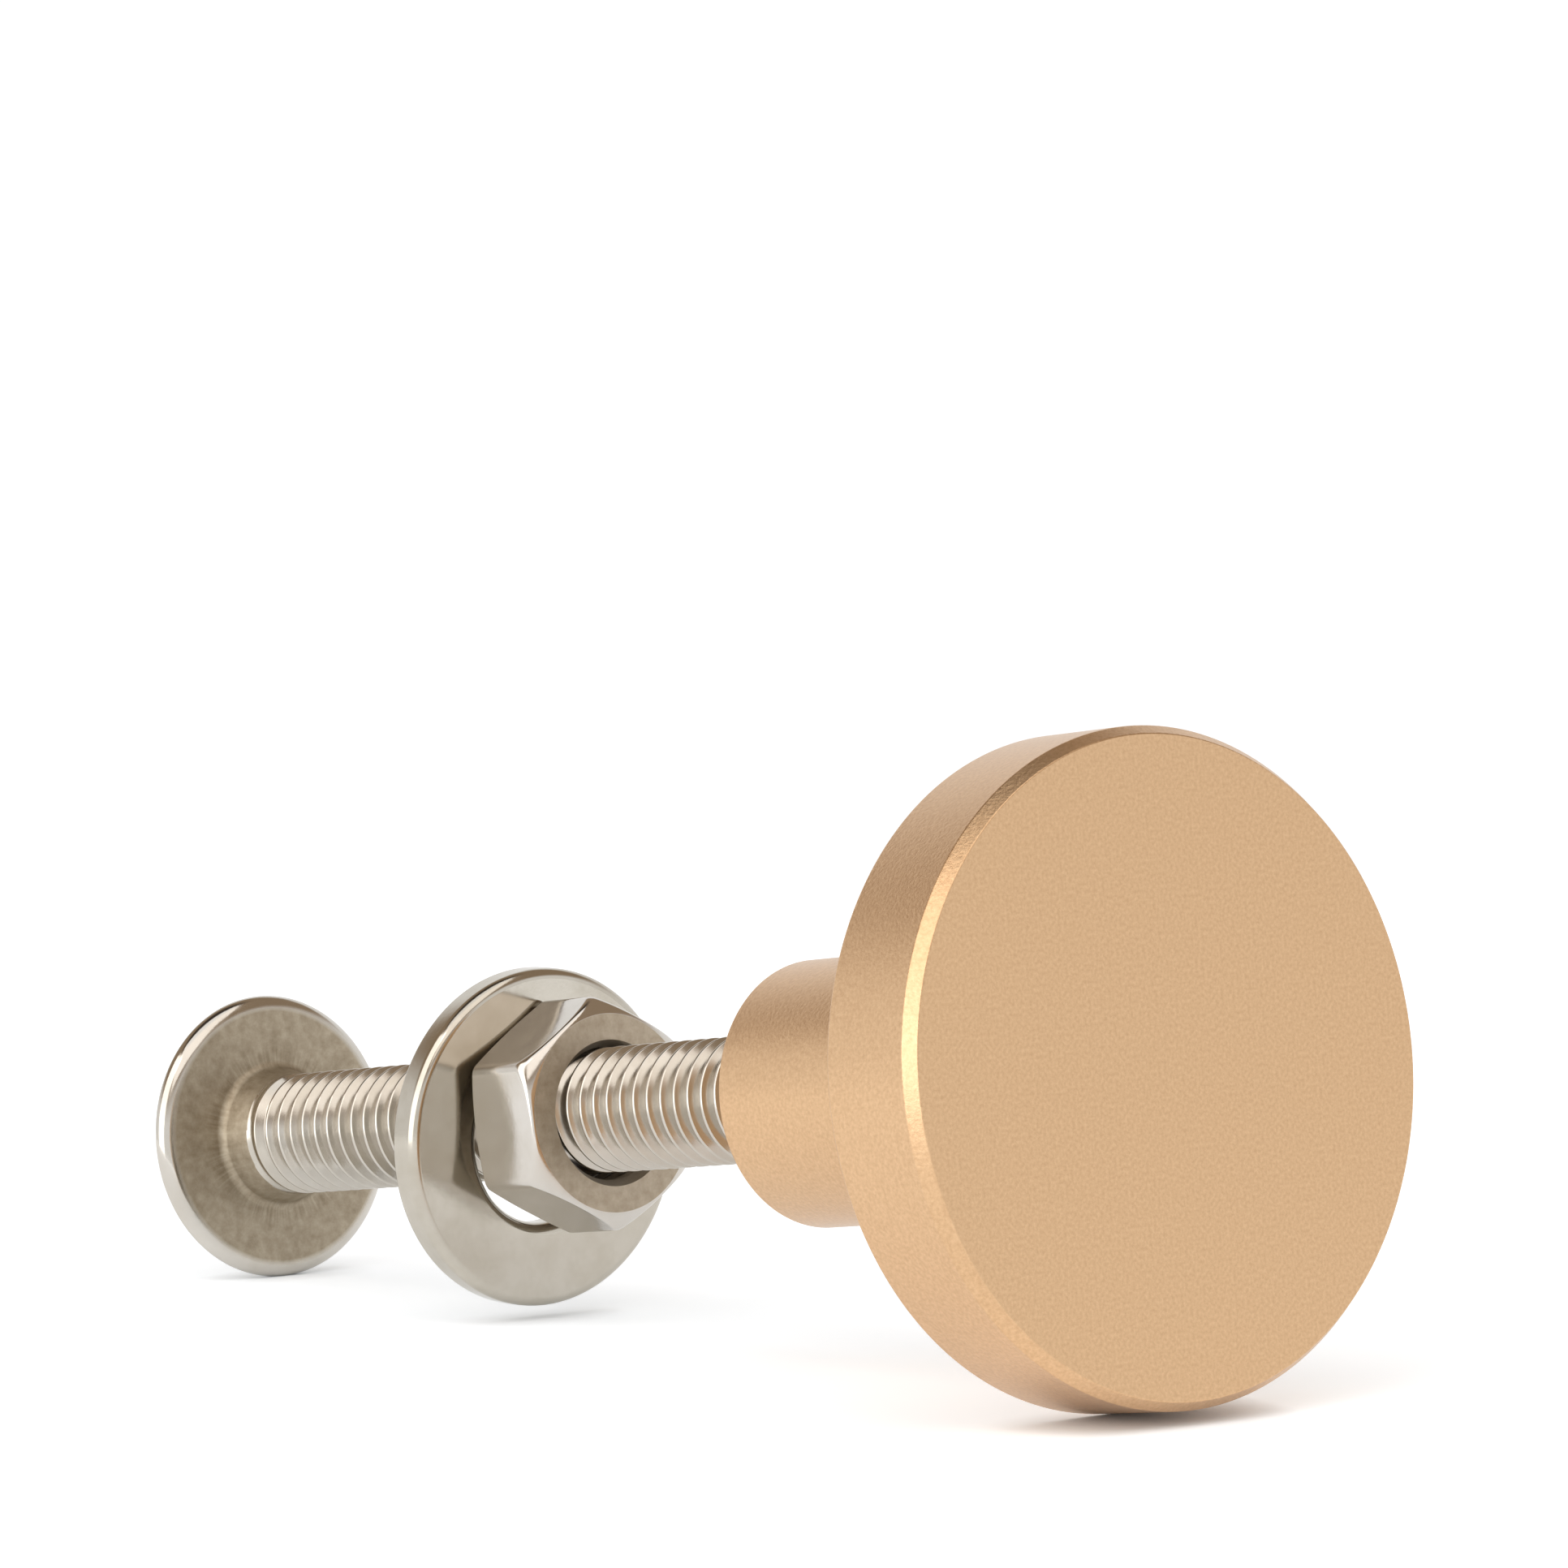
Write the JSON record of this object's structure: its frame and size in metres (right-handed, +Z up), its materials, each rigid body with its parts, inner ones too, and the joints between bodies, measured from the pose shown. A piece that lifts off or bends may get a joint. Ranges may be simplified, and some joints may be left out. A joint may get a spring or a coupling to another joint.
{
  "type": "cabinet knob",
  "caption": "Round cabinet knob: a flat chamfered disc on a cylindrical neck, fixed through a door by a domed machine screw that carries a hexagon nut and a flat washer.",
  "frame": {"origin": "centre of the neck's end, the face that seats on the door", "axes": "-Y out of the door to the knob's face, +Y into the door along the screw, +Z up"},
  "size_m": [0.03, 0.0689, 0.03],
  "materials": {
    "anodised_aluminium": "bead-blasted and anodised in a warm champagne gold",
    "stainless_steel": "bright tumbled stainless steel, dull under the screw's head"
  },
  "bodies": {
    "root": {"knob": "anodised_aluminium", "screw": "stainless_steel", "nut": "stainless_steel", "washer": "stainless_steel"}
  },
  "joints": []
}
